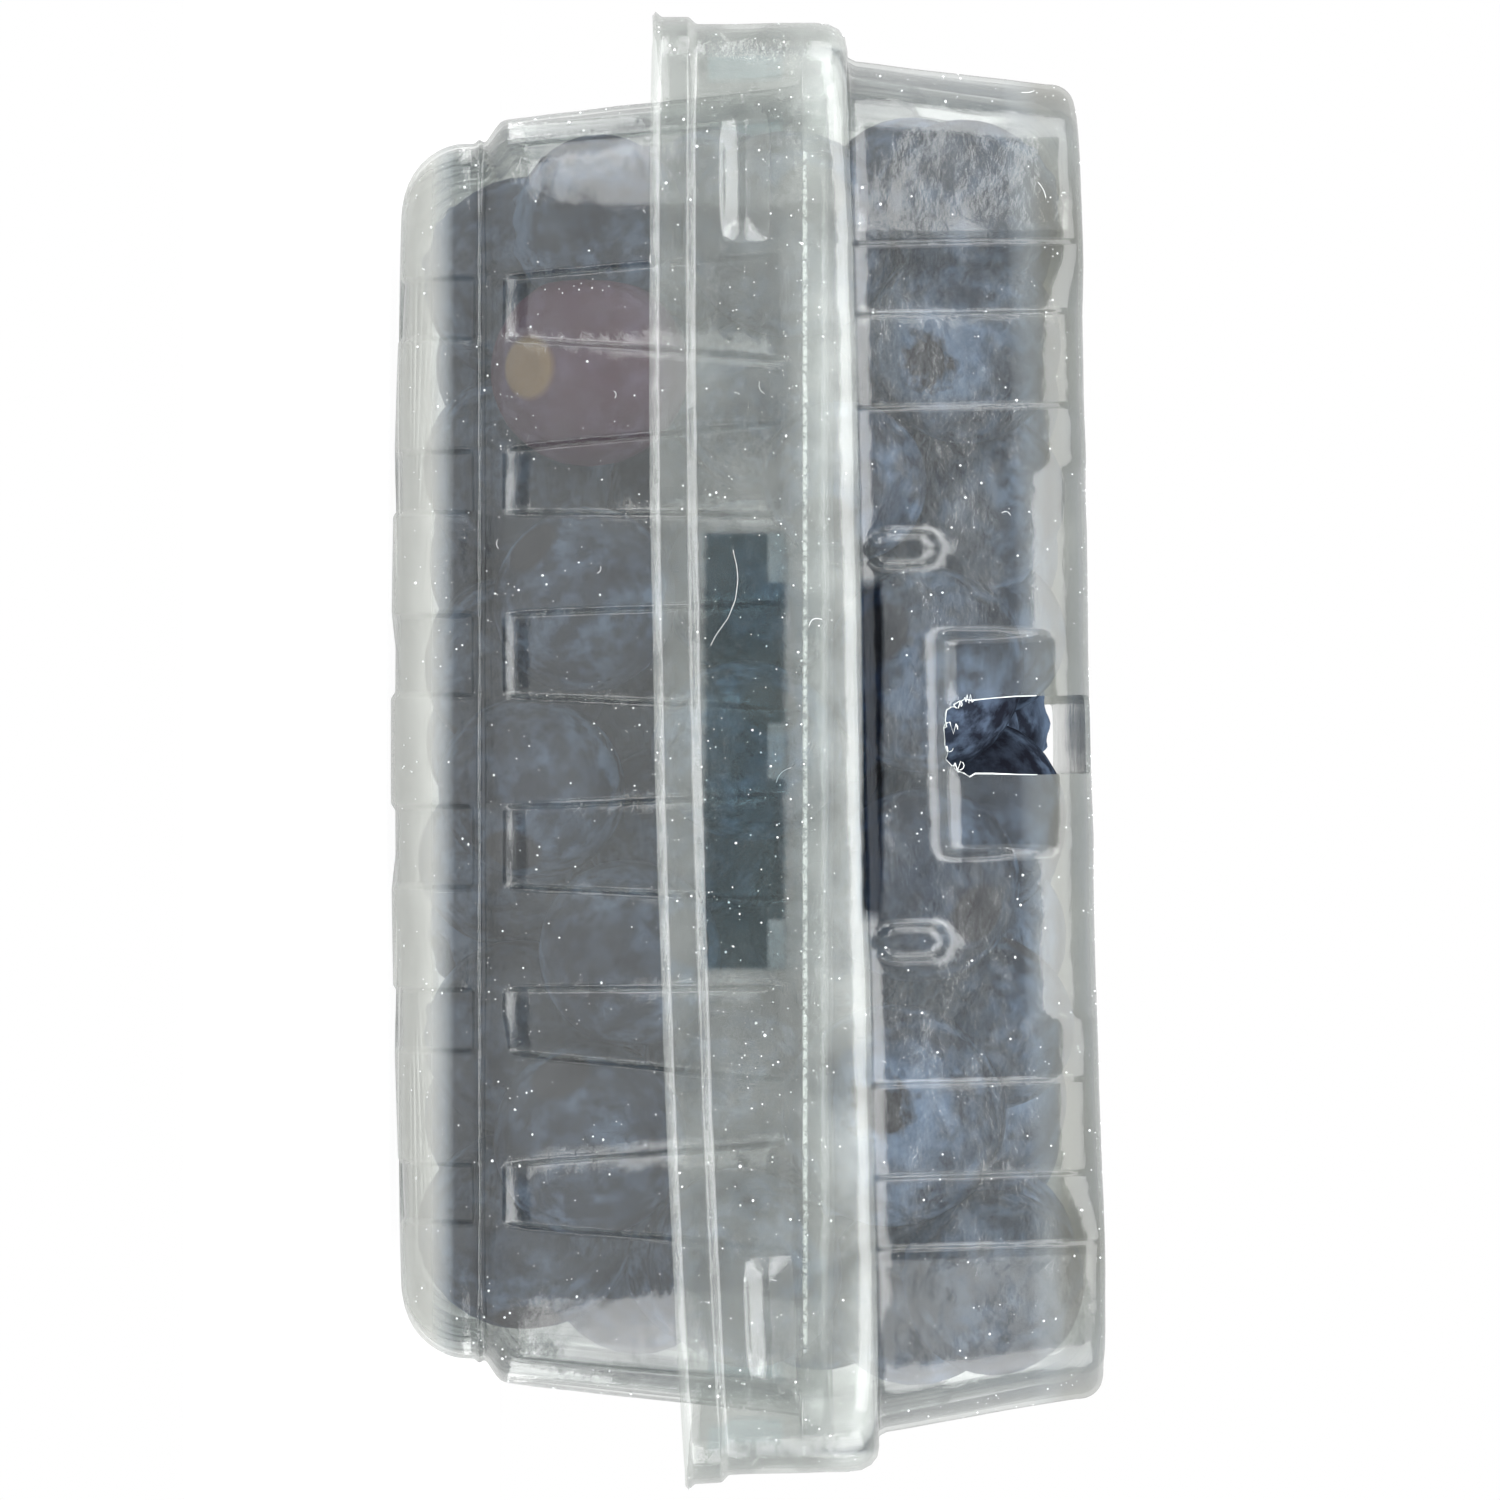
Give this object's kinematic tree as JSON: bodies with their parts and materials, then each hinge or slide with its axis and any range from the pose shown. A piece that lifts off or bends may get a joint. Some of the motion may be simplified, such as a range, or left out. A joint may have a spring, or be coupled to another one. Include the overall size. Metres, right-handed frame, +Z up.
{
  "type": "punnet of blueberries",
  "caption": "Clear square plastic punnet of blueberries: ribbed tray, press-on lid with vent slots, and loose berries filling it.",
  "frame": {"origin": "middle of the base, on the surface that the punnet stands on", "axes": "+Z up through the lid, +X towards the end where the lid sits highest, the near side at -Y"},
  "size_m": [0.1202, 0.1202, 0.0585],
  "materials": {
    "tray_plastic": "clear formed sheet",
    "lid_plastic": "clear formed sheet",
    "berry_skin": "waxy bloom"
  },
  "bodies": {
    "root": {"base_tray": "tray_plastic", "lid": "lid_plastic", "berries": "berry_skin"}
  },
  "joints": []
}
